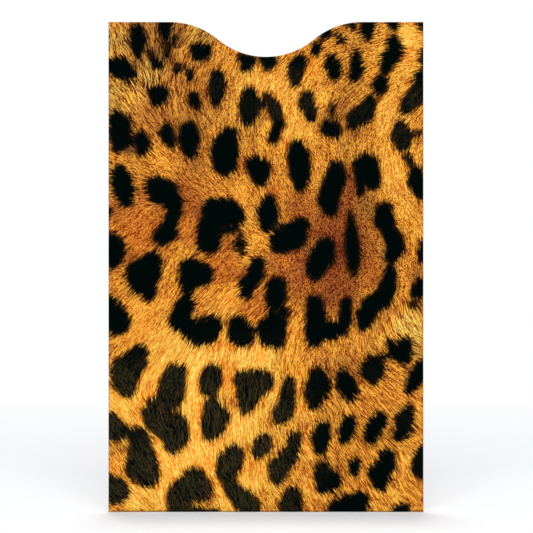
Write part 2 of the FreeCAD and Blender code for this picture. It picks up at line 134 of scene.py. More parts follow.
# %% Brush strokes of the spots
SPOTS = [
    # Left shoulder
    [(137, 31, 6.4), (138, 42, 8), (138, 50, 5.3), (137.5, 57, 2.2)],
    [(165.3, 22, 6.2), (165.3, 31, 5.8), (166, 38, 4)],
    [(174.3, 38, 1.2), (175, 46, 1.6)],
    [(168, 44, 3.6), (167, 56, 2.4)],
    [(115.5, 66, 8.6), (121.5, 69, 10), (130, 74.5, 6.5)],
    [(150.5, 53, 2.6), (152.8, 59, 3.6), (157, 65.5, 4.5), (156, 69.5, 2.2)],
    [(178, 66, 3.1), (178, 70.5, 2.6)],
    [(189, 71.5, 2.9), (190, 77, 2.7), (190, 80, 1.2)],
    [(196, 49.5, 5.8), (203.3, 51.5, 7), (198.5, 56, 6)],
    [(156, 92, 8), (160.3, 94, 7.6), (158.3, 99.5, 7)],
    [(193, 97, 4), (194.8, 102, 5), (196, 107, 3)],
    [(217.3, 75, 4.8), (217.5, 84, 7), (216.5, 94, 6.7), (216, 102, 4)],
    [(117.5, 120, 8.5), (120.5, 127, 10.8), (121, 137, 10.8), (119.5, 145, 6.5), (129, 143, 4.5)],
    [(140, 139, 7), (143.3, 145.5, 7), (141.5, 151.5, 4.3)],
    [(166.3, 130.5, 6), (168, 138, 5.8), (172, 144, 3.8)],
    [(188.5, 130, 8.4), (189.5, 140, 9.6), (190, 148, 7.2), (191, 153.5, 4.7)],
    # Under the notch
    [(245, 59, 6.2), (248.5, 61, 6.2), (246.5, 66.5, 5)],
    [(266, 59, 6), (270, 61, 6.3), (266.5, 66, 4)],
    [(300.5, 61, 5.7), (296, 68, 6.8), (294.8, 77, 5.8), (295, 82.5, 3.8)],
    [(316.5, 46, 3.3), (315.5, 51.5, 3.6)],
    [(306.5, 97, 5.2), (306.5, 103, 6.6), (309, 111, 5.2), (311.3, 118.5, 3.2)],
    [(249.3, 95, 6.6), (249.8, 104, 9.3), (249, 113, 8.9), (248.5, 120, 5.3)],
    [(267.5, 97.5, 4.4), (273, 105.5, 5.2), (277, 116, 5.5), (279, 124, 4.6), (275.5, 132, 3.7),
     (273.5, 139.5, 4.6)],
    [(262.5, 104, 3.4)],
    [(230.8, 133.5, 6), (226, 143, 11.1), (224.7, 153, 12.8), (224.8, 163, 11.3), (227, 170, 6)],
    # Right shoulder
    [(351, 24, 4), (353, 27, 2)],
    [(323, 35.5, 3), (329, 33, 3)],
    [(337.5, 36.5, 2.5), (341, 40, 2.6)],
    [(368, 23, 6.6), (367.6, 32, 6.3), (367, 37.5, 3.8)],
    [(392.8, 22, 5.5), (394, 26.5, 4)],
    [(424, 25, 5)],
    [(393.5, 43, 6.3), (394.8, 51, 7), (390.3, 58, 7.6), (386, 66, 5.8), (384.5, 72, 2.8)],
    [(331.8, 60.5, 5), (332.8, 66, 7.4), (334.5, 73, 6.3)],
    [(356.8, 54.5, 3.2), (356.8, 62, 5.2), (357.3, 69, 6), (354.5, 77, 4.6)],
    [(424.5, 54, 3.6), (424.5, 62, 3.6), (424.5, 69, 3)],
    [(419.8, 77.5, 5.2), (419.2, 88.5, 6.1), (414, 98.5, 7.7), (406.3, 107, 6)],
    [(381.5, 79.5, 5), (379.8, 86.5, 7), (378.8, 91.5, 4)],
    [(370, 102, 5.3), (364.3, 113, 8.4), (356, 119.5, 7.8), (352.5, 126, 3.6)],
    [(332.3, 106, 1.6), (332.5, 115, 2)],
    [(328.5, 128.5, 7.2), (332.3, 129.8, 8.2)],
    [(400.8, 129, 6.3), (401.8, 137, 9.8), (401.8, 145, 6.2)],
    [(412, 137, 1.8), (419, 132.5, 1.5)],
    # Upper middle
    [(119.5, 173, 7), (121.5, 182, 10.6), (124, 191, 10.2), (126, 200, 6.8)],
    [(108.5, 211.5, 2.6)],
    [(155.5, 187, 9.6), (160, 191, 12.2), (166.5, 192.7, 11.4), (173, 203, 9.2), (174.3, 211, 7), (171, 222, 6.6),
     (168, 231.5, 8.8), (161, 237.5, 7.8)],
    [(113, 243.8, 9.2), (115, 250.5, 10.4), (112.5, 259, 8.6)],
    [(214, 210.5, 11.5), (226, 213.7, 14.6), (234, 216.5, 9.8)],
    [(222, 231.5, 3.6), (235, 228, 3.4)],
    [(213.5, 218, 11.3), (209.5, 231, 11.8), (208.5, 243, 11)],
    [(239.5, 236.5, 3), (239.7, 245, 4.6), (242, 251, 3.4)],
    [(254.6, 165, 8.3), (259.6, 170, 10.4), (260.5, 179, 7)],
    [(297, 147, 6.3), (298.3, 156, 10), (299.5, 166, 10), (300.6, 176, 8.8), (300.3, 186.5, 5)],
    [(268.5, 202.5, 6.6), (267.6, 211.5, 9.3), (268.5, 219, 9.2), (267, 226, 5.6)],
    [(300, 226.5, 8.3), (294, 236, 13), (283.5, 239.8, 12.8), (278, 245.5, 6.6)],
    [(275, 227, 2.6), (284, 226, 2)],
    [(336.8, 169, 7.2), (335.8, 178, 9.7), (331.3, 189.5, 9.6), (328.6, 200.5, 9.6), (330.6, 210, 6.6)],
    [(359.8, 164.5, 6.4), (366.6, 164.5, 10.2), (368.5, 174, 11.2), (371.8, 182.5, 7.3)],
    [(360.3, 171, 6.8), (360.5, 183, 3.6), (360.5, 193, 3.2)],
    [(415.5, 173, 6), (416, 181, 7.8), (419.3, 188, 7.1), (423, 196.5, 4.2)],
    [(407, 157, 2.9), (411.3, 164, 2.5)],
    [(384, 210, 6.9), (383.8, 220.5, 9.2), (387.6, 229.5, 6.6), (393.5, 239.5, 8.1), (395.3, 248.5, 8.4),
     (391.5, 258, 5.8)],
    [(349.8, 213, 1), (351, 224, 3.2), (351.3, 235, 5.6), (352, 246, 6.7), (353.5, 256, 6.2), (353, 266, 5),
     (353.5, 273, 2.7)],
    [(325.5, 246.5, 8.6), (322.3, 257, 11.5), (315.8, 268, 9.4), (315, 274.5, 6)],
    [(424.5, 244, 4.2), (424.5, 252, 5.9), (423.5, 259.5, 4.2)],
    # Lower middle
    [(152.3, 261, 8.9), (148, 270, 13.5), (138.5, 274, 12.4), (142.7, 283, 12.4), (148, 290, 8), (148, 296.5, 4)],
    [(109, 305.5, 8.3), (113, 316, 13.2), (117.6, 321.5, 12.6)],
    [(191.5, 270, 11.2), (202, 274.5, 10.4), (189, 280, 10)],
    [(187.5, 287, 5), (187, 296, 4.4), (185, 307, 8.6), (180, 320.5, 9.8), (188, 325.5, 9.6), (197, 334.5, 9.7),
     (205.5, 331, 12.6), (211.5, 325.5, 9.3)],
    [(257, 265, 7.2), (255.8, 274, 7.7), (249.8, 282, 6.5), (244, 282.5, 4)],
    [(249, 286, 5.2), (246, 292.5, 6.2)],
    [(276.8, 287, 9.5), (276, 296, 10), (275, 303, 8)],
    [(283, 308, 3.6), (283.5, 314, 4.6)],
    [(272, 309, 3.5), (271, 315, 3.5)],
    [(277.5, 321, 9), (268, 328.5, 9.8), (276.5, 333, 9.5), (268, 336, 8.3), (279.3, 343, 5)],
    [(238.5, 324.5, 8.9), (240, 332.5, 11.4), (244, 337, 8.7)],
    [(251, 329, 2.8), (256, 331, 1.8)],
    [(314.6, 303, 7.8), (315.8, 316, 8.6), (315.6, 328, 9.5), (314.8, 337.5, 8.6)],
    [(318.5, 332, 10), (330, 330.7, 9), (340, 329.3, 7.3)],
    [(346.2, 302.5, 4.5), (345.6, 312, 5.3), (345, 322, 6.4)],
    [(390, 268, 3.2), (390, 276, 5.7), (387.4, 288, 7.6), (382.2, 299, 8.9), (372, 305.5, 9.2), (366, 316, 8.8),
     (364, 324, 6.3)],
    [(420.5, 284.5, 5.8), (417.5, 292.5, 7), (421, 291.5, 6)],
    [(413, 303.5, 4.1)],
    [(405, 346, 7.6), (402.8, 352.5, 9.8), (403.5, 359, 5)],
    [(389, 342, 2.7), (393, 349.5, 4.2), (396.5, 353, 5.8)],
    [(384, 357, 3), (388, 355, 2.5)],
    [(374, 363.5, 8), (371.7, 370, 10.5), (375, 370.3, 9.2), (374, 379, 5.4)],
    [(421, 367, 5.2), (417.8, 375.5, 7.3), (412.8, 383, 6.4), (410.8, 388, 4.8)],
    # Lower part
    [(139.7, 352.5, 7.3), (135, 361.5, 10.8), (126.8, 370, 13.3), (125, 379, 12.4), (127.3, 388, 8)],
    [(175.8, 374, 9.3), (172.5, 384.5, 11.6), (170.6, 396, 12.1), (164.5, 406, 9)],
    [(154, 406, 6.3), (151, 413.5, 7.6), (156, 422, 9.6), (166.5, 427, 11.7), (175, 425.5, 11.3),
     (175, 435.5, 12.6), (173, 445.5, 6.8)],
    [(212.7, 373.3, 7.7), (210.4, 381.5, 9.4), (208.8, 389, 6.9)],
    [(213, 391, 2.6), (213.5, 400, 2.4)],
    [(212.6, 407, 7.6), (216, 416.5, 12), (213.3, 425.5, 10.4), (210, 433.5, 5.9)],
    [(243.6, 380.2, 8.3), (253.5, 382, 10.9), (263, 382, 8.9), (249.8, 392.5, 11.7), (246.5, 403.5, 7.2),
     (245.2, 410, 3.3)],
    [(288.6, 382, 4.1), (288, 392.5, 5.8), (286.8, 403.5, 6.9), (283, 413, 8.7), (279.3, 418.5, 5.8)],
    [(317.3, 376.5, 8.2), (318, 384.5, 11.3), (315.6, 395, 9.4), (314.6, 404, 6)],
    [(341.5, 375.5, 5.3), (345, 383, 8.8), (349.5, 390.5, 7.8), (350.8, 397, 5)],
    [(110, 421.5, 8), (113.7, 429.3, 11), (120.5, 432.3, 7.7)],
    [(133, 434, 6.4), (141, 436.5, 6.5), (140, 443.5, 10.4), (141, 456, 12.2), (142, 466.5, 15.6),
     (146.7, 474, 12), (148.5, 479.5, 6.8)],
    [(109.5, 483, 7.4), (114.5, 488.7, 11.1), (118.8, 492, 9.2), (114, 497.5, 5.4)],
    [(194, 478.7, 10.3), (199.7, 489, 11.7), (187, 488, 11), (181, 495.5, 12.3), (180, 506, 11)],
    [(191, 510, 3.5), (206, 512, 2.5), (216, 511, 2)],
    [(233.5, 454.5, 9.1), (230, 462.5, 11.4), (227, 472, 9.5), (228.6, 482, 5.6), (235, 492.5, 7.2),
     (243.5, 500.5, 10), (250.5, 506.5, 9.2)],
    [(263.5, 440.5, 6.2), (262.3, 446, 8.2), (258.5, 451.5, 5.8)],
    [(295.3, 437.5, 5.2), (292.2, 449, 6.3), (287, 459, 7.6), (279.3, 467, 9.4), (277.5, 476, 7.3)],
    [(292.3, 495.7, 8), (290.5, 505, 10.5), (292, 512, 9)],
    [(322.2, 429, 6.9), (321, 438, 8.7), (320.5, 447.5, 6.3)],
    [(321.7, 467.5, 6.4), (325, 476, 9.5), (330.8, 481.3, 9.5), (323.3, 485.5, 7)],
    [(349, 421.5, 5.6), (347, 430.7, 7.6), (345, 438, 5.2)],
    [(379, 419, 6.6), (374, 428, 8.4), (371.4, 436, 7.2)],
    [(408, 410.7, 5), (404.8, 418, 8.2), (403.6, 428, 8.1), (399.7, 435, 5.5)],
    [(355, 463.5, 4.6), (354, 469.5, 4.6)],
    [(386.7, 457.3, 7.6), (385.6, 466, 9.2), (379, 472, 10.4), (380.3, 482, 7.8)],
    [(422.3, 450, 4), (419.5, 460, 5.9), (419.3, 467.5, 7.2), (423, 472.5, 6)],
    [(359.8, 500.3, 8), (348.3, 505, 10.3), (338.3, 507.6, 7.8), (334.5, 510.5, 6), (359.8, 507.5, 7)],
    [(395.7, 510, 3.7), (403, 509.2, 5.7)],
]
STROKE_BLEND = 1.5
FAR_AWAY = 1000.0


def spot_distance(column, row):
    """Signed pixels from each place to the nearest spot. For one run of a stroke, the place is dropped
    onto the line between its two points and the half width there is taken off. Runs meet by a rounded
    minimum: the smaller of the two, less a little where they are nearly equal."""
    nearest = np.full(column.shape, FAR_AWAY)
    for stroke in SPOTS:
        ends = stroke[1:] or stroke
        for (x0, y0, r0), (x1, y1, r1) in zip(stroke, ends):
            dx, dy = x1 - x0, y1 - y0
            length = max(dx * dx + dy * dy, 1e-6)
            along = np.clip(((column - x0) * dx + (row - y0) * dy) / length, 0, 1)
            gap = np.hypot(column - x0 - along * dx, row - y0 - along * dy) - r0 - along * (r1 - r0)
            share = np.clip(0.5 + 0.5 * (nearest - gap) / STROKE_BLEND, 0, 1)
            nearest = nearest + share * (gap - nearest) - STROKE_BLEND * share * (1 - share)
    return nearest


print("spots:", len(SPOTS), "strokes,", sum(map(len, SPOTS)), "points")

# %% [markdown]
# ## The lie of the hair
# Fur lies in currents. At many places the angle at which the hair lies is read in the picture,
# counter-clockwise from the right. A hair has no front end in a print, so 10 and 190 degrees
# are the same lie. Angles are therefore doubled before they are averaged, and halved again in the shader.

# %% Angles of the hair
LIE = [
    (113, 35, 100), (125, 45, 115), (115, 75, 130), (115, 95, 132), (150, 70, 100), (170, 70, 75),
    (190, 30, 60), (203, 35, 60), (205, 65, 70), (140, 110, 125), (150, 130, 130), (180, 110, 105),
    (210, 120, 100), (230, 60, 70), (250, 80, 90), (270, 80, 65), (290, 60, 50), (310, 55, 52), (305, 80, 60),
    (230, 110, 90), (265, 120, 95), (300, 130, 75), (330, 45, 30), (345, 30, 25), (350, 45, 18), (375, 35, 18),
    (375, 55, 5), (410, 40, 0), (410, 60, 178), (345, 70, 42), (345, 90, 45), (330, 90, 60), (365, 90, 40),
    (390, 80, 48), (385, 110, 55), (400, 95, 45), (415, 115, 45), (350, 135, 90), (380, 130, 70),
    (415, 140, 75), (115, 155, 145), (140, 160, 135), (165, 155, 130), (165, 170, 135), (190, 165, 120),
    (205, 150, 110), (140, 178, 165), (140, 190, 180), (120, 215, 25), (140, 220, 40), (150, 240, 48),
    (190, 190, 145), (205, 185, 145), (190, 215, 45), (185, 240, 50), (180, 255, 55), (205, 255, 30),
    (245, 150, 108), (280, 160, 95), (240, 180, 120), (225, 185, 135), (250, 205, 120), (250, 220, 125),
    (255, 235, 145), (245, 245, 162), (285, 200, 120), (300, 205, 130), (315, 160, 90), (225, 245, 45),
    (325, 150, 105), (365, 230, 125), (370, 245, 135), (385, 160, 95), (395, 180, 105), (405, 210, 120),
    (410, 225, 120), (412, 250, 95), (340, 225, 98), (345, 200, 92), (365, 205, 98), (115, 280, 32),
    (120, 290, 42), (130, 300, 48), (150, 320, 55), (165, 290, 60), (165, 340, 50), (130, 335, 50),
    (120, 350, 50), (160, 365, 55), (180, 350, 60), (195, 360, 60), (200, 300, 40), (195, 385, 80),
    (225, 280, 45), (240, 305, 50), (225, 335, 75), (245, 360, 75), (265, 360, 90), (290, 350, 72),
    (295, 320, 65), (300, 290, 60), (255, 300, 45), (225, 380, 90), (275, 380, 90), (300, 380, 90),
    (330, 310, 90), (370, 275, 45), (365, 290, 45), (355, 310, 90), (340, 350, 95), (370, 335, 90),
    (395, 315, 105), (410, 325, 120), (380, 345, 122), (415, 345, 150), (415, 355, 160), (390, 365, 140),
    (395, 375, 145), (360, 375, 130), (115, 400, 140), (140, 400, 112), (155, 390, 75), (195, 400, 90),
    (195, 440, 95), (150, 440, 130), (155, 455, 120), (115, 455, 122), (180, 460, 110), (140, 495, 130),
    (130, 505, 150), (165, 490, 102), (235, 430, 90), (260, 420, 90), (275, 400, 75), (280, 440, 108),
    (250, 475, 95), (270, 490, 115), (305, 450, 115), (305, 480, 112), (220, 490, 120), (335, 400, 118),
    (365, 390, 135), (390, 390, 135), (410, 400, 142), (335, 430, 100), (360, 430, 130), (360, 450, 125),
    (390, 430, 135), (395, 445, 140), (410, 440, 150), (415, 425, 140), (400, 460, 112), (400, 480, 120),
    (340, 455, 125), (360, 485, 120), (385, 500, 125), (410, 490, 130), (325, 500, 125),
]
LIE_REACH = 7.0


def hair_lie(column, row):
    """Cosine and sine of twice the hair's angle: each reading counts by one over its squared distance, squared,
    softened by a reach, and the sum is brought back to length one."""
    turned = np.zeros(column.shape + (2,))
    for x, y, angle in LIE:
        near = 1 / ((column - x) ** 2 + (row - y) ** 2 + LIE_REACH ** 2) ** 2
        double = math.radians(2 * angle)
        turned += near[..., None] * (math.cos(double), math.sin(double))
    return turned / np.linalg.norm(turned, axis=-1, keepdims=True)


print("hair angles read at", len(LIE), "places")

# %% [markdown]
# ## The tints of the fur
# The fur isn't one orange: it is straw on the flanks, rust in the middle and dull mustard elsewhere.
# A painter would lay a ground colour and glaze soft patches over it, and that is what happens here:
# each patch has a place, a reach and one of a few named inks.

# %% Inks and patches
INKS = {
    "amber": (208, 127, 43), "honey": (235, 146, 47), "gold": (237, 156, 56), "straw": (251, 181, 69),
    "sand": (175, 119, 48), "bronze": (165, 96, 37), "mustard": (186, 116, 42), "umber": (148, 90, 37),
    "bark": (115, 69, 29), "orange": (192, 103, 36), "rust": (168, 88, 34), "russet": (139, 67, 30),
    "sepia": (118, 52, 25), "corn": (252, 178, 65), "flax": (220, 156, 66),
}
PATCHES = [
    # Left shoulder and under the notch
    ("bronze", 178, 115, 62), ("umber", 150, 42, 34), ("umber", 178, 34, 14), ("bark", 162, 50, 10),
    ("sand", 120, 98, 22), ("amber", 130, 100, 9), ("sand", 146, 72, 18), ("sand", 117, 42, 14),
    ("sand", 203, 33, 16), ("mustard", 176, 104, 11), ("mustard", 214, 122, 12), ("bark", 130, 148, 8),
    ("amber", 160, 160, 20), ("honey", 162, 162, 8), ("bronze", 196, 164, 9), ("bronze", 148, 108, 9),
    ("mustard", 176, 92, 9), ("gold", 270, 100, 42), ("gold", 298, 130, 20), ("mustard", 247, 135, 14),
    ("umber", 259, 110, 9), ("mustard", 259, 121, 8), ("amber", 215, 134, 7), ("honey", 286, 148, 7),
    # Right shoulder
    ("mustard", 340, 85, 26), ("amber", 320, 90, 16), ("gold", 322, 98, 8), ("honey", 314, 66, 13),
    ("mustard", 354, 42, 14), ("bronze", 340, 118, 16), ("umber", 352, 116, 10), ("gold", 408, 50, 32),
    ("straw", 404, 36, 12), ("gold", 384, 105, 18), ("gold", 386, 130, 10), ("flax", 402, 118, 8),
    ("bronze", 352, 132, 12), ("mustard", 348, 152, 14), ("gold", 396, 170, 28), ("gold", 313, 176, 8),
    ("gold", 407, 90, 8), ("mustard", 327, 119, 7),
    # Left side
    ("orange", 140, 232, 30), ("rust", 116, 212, 12), ("rust", 146, 194, 11), ("rust", 186, 200, 24),
    ("russet", 198, 216, 8), ("rust", 162, 210, 9), ("orange", 188, 230, 15), ("honey", 240, 194, 10),
    ("rust", 228, 243, 10), ("rust", 242, 165, 10), ("honey", 258, 242, 9), ("orange", 222, 268, 20),
    ("orange", 254, 308, 20), ("honey", 229, 300, 14), ("rust", 243, 276, 10), ("rust", 130, 258, 10),
    ("mustard", 130, 290, 9), ("orange", 196, 306, 8), ("honey", 148, 322, 36), ("amber", 164, 320, 10),
    ("honey", 226, 332, 18), ("amber", 226, 321, 8), ("honey", 290, 332, 14), ("gold", 246, 216, 8),
    # Right side
    ("rust", 296, 270, 38), ("russet", 336, 245, 48), ("sepia", 338, 250, 16), ("russet", 335, 292, 26),
    ("rust", 312, 246, 8), ("orange", 274, 192, 9), ("rust", 300, 208, 18), ("russet", 346, 207, 14),
    ("umber", 368, 208, 14), ("umber", 386, 258, 8), ("rust", 372, 275, 14), ("russet", 349, 183, 16),
    ("gold", 404, 210, 10), ("bronze", 418, 274, 10), ("bronze", 388, 308, 10), ("umber", 418, 306, 8),
    ("amber", 400, 302, 9), ("flax", 408, 326, 15), ("flax", 418, 338, 10), ("gold", 418, 234, 9),
    ("amber", 406, 242, 13), ("mustard", 372, 326, 8), ("rust", 313, 288, 9), ("bronze", 313, 247, 8),
    ("orange", 286, 260, 8),
    # Lower part
    ("straw", 205, 400, 75), ("corn", 165, 460, 55), ("corn", 235, 480, 40), ("corn", 140, 400, 40),
    ("straw", 262, 356, 14), ("honey", 290, 354, 8), ("honey", 228, 370, 12), ("amber", 228, 402, 9),
    ("honey", 228, 386, 12), ("honey", 146, 402, 9), ("honey", 150, 388, 9), ("straw", 276, 388, 10),
    ("mustard", 328, 368, 10), ("bronze", 348, 368, 16), ("bronze", 410, 372, 8), ("gold", 304, 410, 12),
    ("amber", 260, 402, 8), ("amber", 272, 420, 9), ("mustard", 330, 418, 12), ("mustard", 386, 434, 18),
    ("gold", 414, 414, 9), ("umber", 131, 448, 10), ("bark", 176, 412, 6), ("honey", 114, 462, 16),
    ("mustard", 115, 446, 9), ("honey", 250, 466, 14), ("amber", 244, 450, 8), ("gold", 306, 448, 14),
    ("gold", 314, 488, 15), ("gold", 407, 464, 12), ("mustard", 338, 464, 9), ("mustard", 380, 355, 16),
    ("sand", 418, 354, 8), ("gold", 384, 497, 16), ("amber", 384, 498, 10), ("straw", 132, 500, 8),
    ("amber", 210, 498, 8), ("amber", 262, 497, 10), ("honey", 300, 372, 9), ("honey", 217, 344, 10),
    ("honey", 231, 344, 9), ("gold", 386, 343, 9), ("mustard", 341, 400, 8), ("gold", 132, 414, 9),
    ("amber", 357, 442, 9), ("bronze", 342, 497, 7),
]


def bell(column, row, x, y, reach, power=1):
    """One at (x, y), falling with the distance in reaches: e to the minus its square, raised to a power."""
    return np.exp(-(((column - x) ** 2 + (row - y) ** 2) / reach ** 2) ** power)


def ink(red, green, blue):
    """A printed colour, 0 to 255 as a screen shows it, turned into the linear light that Blender counts in."""
    share = np.array((red, green, blue)) / 255
    return np.where(share <= 0.04045, share / 12.92, ((share + 0.055) / 1.055) ** 2.4)


def fur_tint(column, row):
    """Ground ink, then each patch in turn mixed over it by a flat-topped bell."""
    tint = np.tile(ink(*INKS["amber"]), column.shape + (1,))
    for name, x, y, reach in PATCHES:
        tint += bell(column, row, x, y, reach, 2)[..., None] * (ink(*INKS[name]) - tint)
    return tint


print("fur:", len(INKS), "inks in", len(PATCHES), "patches")

# %% [markdown]
# ## Nap and crisp hair
# In the middle right the hair is so short that it shows as a stipple. On the left shoulder it is long, and
# single cream hairs stand out. Both are soft masks, worked out like the patches: a place, a reach and an amount.

# %% Nap and crispness
NAP_GROUND = 0.3
NAP = [
    (345, 200, 22, 1.0), (365, 205, 18, 1.0), (330, 225, 18, 1.0), (365, 230, 20, 1.0), (340, 280, 24, 1.0),
    (285, 265, 18, 1.0), (405, 280, 14, 1.0), (315, 200, 16, 1.0), (145, 70, 45, -0.7), (410, 315, 30, -0.7),
    (190, 420, 90, -0.3), (365, 460, 60, -0.55), (240, 340, 50, -0.3),
]
CRISP = [(136, 72, 62, 1.0), (404, 328, 28, 0.3)]


def hair_nap(column, row):
    """A ground value plus a sum of bells: one is stippled, zero plain and below zero long."""
    return np.minimum(NAP_GROUND + sum(amount * bell(column, row, x, y, reach) for x, y, reach, amount in NAP), 1)


def crisp_hair(column, row):
    """How far single cream hairs stand out: a sum of bells, on the left shoulder and at the right edge."""
    return sum(amount * bell(column, row, x, y, reach) for x, y, reach, amount in CRISP)


print("places with a nap of their own:", len(NAP), "and with crisp hair:", len(CRISP))

# %% [markdown]
# ## Warm blacks and smudges
# The spots at the lower left are a brown black with hairs in them. Most others are a cold, nearly green black,
# with streaks in a few of them, and some small ones are only smudges. Two more masks tell them apart.

# %% Warmth and smudges
STREAKED = [
    (217, 88, 0.25), (249, 105, 0.15), (274, 108, 0.55), (308, 105, 0.4), (360, 112, 0.2), (411, 97, 0.5),
    (401, 137, 0.4), (321, 470, 0.12), (419, 462, 0.12), (407, 415, 0.1), (375, 372, 0.1), (295, 78, 0.25),
    (136, 434, -0.7), (132, 362, -0.3), (287, 396, -0.4), (293, 497, -0.3), (210, 376, -0.3), (253, 381, -0.3),
]
STREAK_REACH = 13
WARM_ROW, WARM_COLUMN, WARM_SPREAD = 358, 300, 7
SMUDGES = [
    (150, 54), (165, 48), (176, 66), (332, 106), (418, 133), (409, 159), (240, 236),
    (240, 252), (414, 303), (268, 96),
]
SMUDGE_REACH = 5


def warm_black(column, row):
    """Product of two soft steps, one down the rows and one leftwards over the columns, and bells on single spots."""
    down = 1 / (1 + np.exp((WARM_ROW - row) / WARM_SPREAD))
    left = 1 / (1 + np.exp((column - WARM_COLUMN) / WARM_SPREAD))
    single = sum(amount * bell(column, row, x, y, STREAK_REACH, 2) for x, y, amount in STREAKED)
    return np.clip(down * left + single, 0, 1)


def smudge(column, row):
    """Sum of bells on the places where a spot is only a smudge, at most one."""
    return np.minimum(sum(bell(column, row, x, y, SMUDGE_REACH, 2) for x, y in SMUDGES), 1)


print("spots with streaks of their own:", len(STREAKED), "and smudges:", len(SMUDGES))

# %% [markdown]
# ## Hair across an edge
# Hair that crosses the edge of a spot makes spikes, and hair that runs along it doesn't. So each place also
# needs to know how squarely the hair meets the edge next to it.

# %% Slope of the edge along the hair
def edge_slope(column, row, lie):
    """How squarely the hair meets the edge of a spot, from zero to one: the change of the distance from one pixel
    before a place to one after it along the hair, halved, without its sign. Rows count downwards, so the sine is
    taken off."""
    angle = np.arctan2(lie[:, 1], lie[:, 0]) / 2
    over, down = np.cos(angle), -np.sin(angle)
    return np.abs(spot_distance(column + over, row + down) - spot_distance(column - over, row - down)) / 2


column, row = np.array([150.0, 200.0]), np.array([70.0, 120.0])
print("slope at two places:", np.round(edge_slope(column, row, hair_lie(column, row)), 2))

# %% [markdown]
# ## The outline of the mouth
# The mouth is a straight cut with a shallow thumb notch, drawn like a wave: shoulder, hollow and
# shoulder are three arcs of one radius that pass smoothly into each other.

# %% Mouth line
half_rise, half_run = NOTCH_DEPTH / 2, NOTCH_HALF_SPAN / 2
notch_radius = (half_run ** 2 + half_rise ** 2) / (2 * half_rise)


def mouth(x):
    """Height of the cut edge: in the hollow, an arc above its lowest point; on a shoulder, an arc below the top."""
    out = np.abs(x)
    hollow = mouth_height - NOTCH_DEPTH + notch_radius - np.sqrt(notch_radius ** 2 - np.minimum(out, half_run) ** 2)
    from_top = np.clip(NOTCH_HALF_SPAN - out, 0, half_run)
    shoulder = mouth_height - notch_radius + np.sqrt(notch_radius ** 2 - from_top ** 2)
    return np.where(out < half_run, hollow, shoulder)


print("notch radius", round(1000 * notch_radius, 2), "mm, lowest point", round(1000 * mouth(0.0).item(), 2), "mm")

# %% [markdown]
# ## The wrapped front sheet
# Front panel, side folds and flaps are one sheet. Its cross-section is a line that runs from the left
# flap's free edge round the left fold, over the front and back to the right flap, and it is carried up the
# sleeve. A ply deeper in the sheet follows the same line with a smaller radius, so one function of depth
# gives both faces of all three plies.

# %% Cross-section of the front sheet
TURN_STEPS, WEB_STEPS, FLAP_STEPS = 6, 2, 12
PRINT_STEP = 0.5 * MM
CORNER_STRIP = 0.03 * MM


def quarter(steps, centre, radius, start):
    """Points of a quarter turn: centre plus radius times (cosine, sine), from a start angle on, in degrees."""
    angle = np.radians(start + 90 * np.arange(1, steps + 1) / steps)
    return np.stack([centre[0] + radius * np.cos(angle), centre[1] + radius * np.sin(angle)], -1)


def run(start, end, steps):
    """Evenly spaced points after start, up to and with end."""
    share = np.arange(1, steps + 1)[:, None] / steps
    return np.array(start) + share * (np.array(end) - np.array(start))


def front_columns(step):
    """Places across the front panel, from its middle to the fold, with the last strip beside the bottom fold."""
    inner = np.linspace(0, back_half_width, round(back_half_width / step) + 1)
    return np.concatenate([inner, [back_half_width + CORNER_STRIP, fold_start]])


def front_section(depth, step):
    """Right half of the cross-section at a depth, as (x, y): the front, a quarter turn, the web, a quarter turn and
    the flap. The left half is its mirror image."""
    x = front_columns(step)
    radius = fold_radius - depth
    near, far = front_face + fold_radius, flap_face - fold_radius
    flat = np.stack([x, np.full_like(x, front_face + depth)], -1)
    web = run((half_width - depth, near), (half_width - depth, far), WEB_STEPS)
    flap = run((fold_start, flap_face - depth), (flap_edge, flap_face - depth), FLAP_STEPS)
    right = np.concatenate([flat, quarter(TURN_STEPS, (fold_start, near), radius, -90), web,
                            quarter(TURN_STEPS, (fold_start, far), radius, 0), flap])
    return np.concatenate([right[:0:-1] * (-1, 1), right])


print("cross-section of the front sheet:", len(front_section(0, PRINT_STEP)), "points")

# %% [markdown]
# The sheet isn't equally high everywhere: the panel starts above the bottom fold and ends at the mouth, the folds
# are full height and the flaps are cut back. So each column of the grid has its own foot and head.

# %% Foot, head and grid of the front sheet
def front_reach(step):
    """Foot and head of each column of the sheet: the panel starts above the bottom fold and ends at the mouth line,
    the fold is full height, and the flap is cut back and slants towards its free edge."""
    x = front_columns(step)
    panel_foot = np.where(x > back_half_width, 0.0, fold_radius)
    fold = np.ones(2 * TURN_STEPS + WEB_STEPS - 1)
    slant = FLAP_TAPER * np.arange(FLAP_STEPS + 1) / FLAP_STEPS
    foot = np.concatenate([panel_foot, 0 * fold, flap_foot + slant])
    head = np.concatenate([mouth(x), mouth_height * fold, flap_head - slant])
    return np.concatenate([foot[:0:-1], foot]), np.concatenate([head[:0:-1], head])


def front_sheet(depth, step):
    """Grid of the sheet at a depth: the cross-section carried from its foot to its head in even steps."""
    section = front_section(depth, step)
    foot, head = front_reach(step)
    share = np.linspace(0, 1, round(mouth_height / step) + 1)
    z = foot[:, None] + (head - foot)[:, None] * share
    xy = np.broadcast_to(section[:, None, :], z.shape + (2,))
    return np.concatenate([xy, z[..., None]], -1)


print("front sheet grid:", front_sheet(0, PRINT_STEP).shape[:2])

# %% [markdown]
# ## The back sheet
# At the foot the front panel folds under and comes up behind as the back panel, which is glued on the flaps.
# Between the flaps nothing carries it, so the paper dips a little and the flaps' edges show
# through as two faint lines. That dip is part of the shape, the same for all plies.

# %% Bottom fold and back panel
DIP = 0.16 * MM
DIP_EDGE = 2.2 * MM
DIP_FOOT = 9.0 * MM


def smooth_step(value, start, end):
    """Zero before start, one after end, and between them three times the share squared less two times its cube."""
    share = np.clip((value - start) / (end - start), 0, 1)
    return share * share * (3 - 2 * share)


